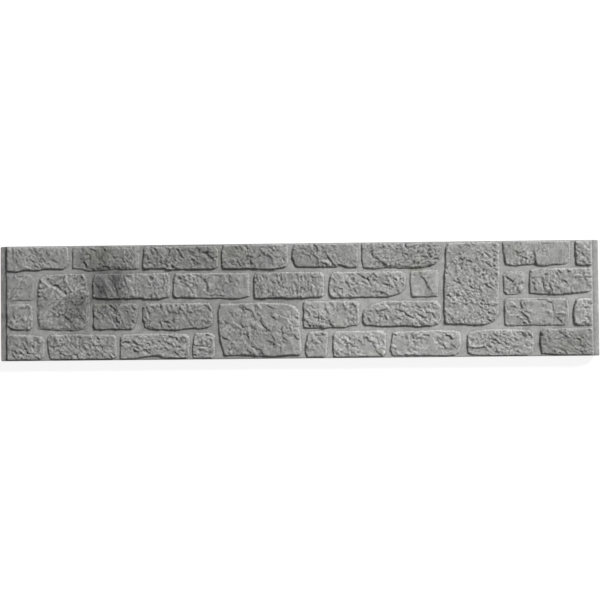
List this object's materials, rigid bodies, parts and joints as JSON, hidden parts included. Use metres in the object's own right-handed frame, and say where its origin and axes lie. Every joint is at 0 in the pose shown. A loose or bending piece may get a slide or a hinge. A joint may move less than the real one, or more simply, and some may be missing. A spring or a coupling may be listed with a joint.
{
  "type": "concrete fence slab",
  "caption": "Precast concrete infill slab for slotted fence posts: a long, low, thin plate with a rough coursed-stone face, a plain back and thinned tongues at its ends.",
  "frame": {"origin": "middle of the plain back face, which the slab lies on", "axes": "+X along the slab towards its right-hand end as seen from the stone face, +Y up the face as it stands in a fence, +Z out of the stone face"},
  "size_m": [2, 0.385, 0.04],
  "materials": {
    "cast_concrete": "matt weathered cast concrete, mid grey with darker olive stains"
  },
  "bodies": {
    "root": {"fence_slab": "cast_concrete"}
  },
  "joints": []
}
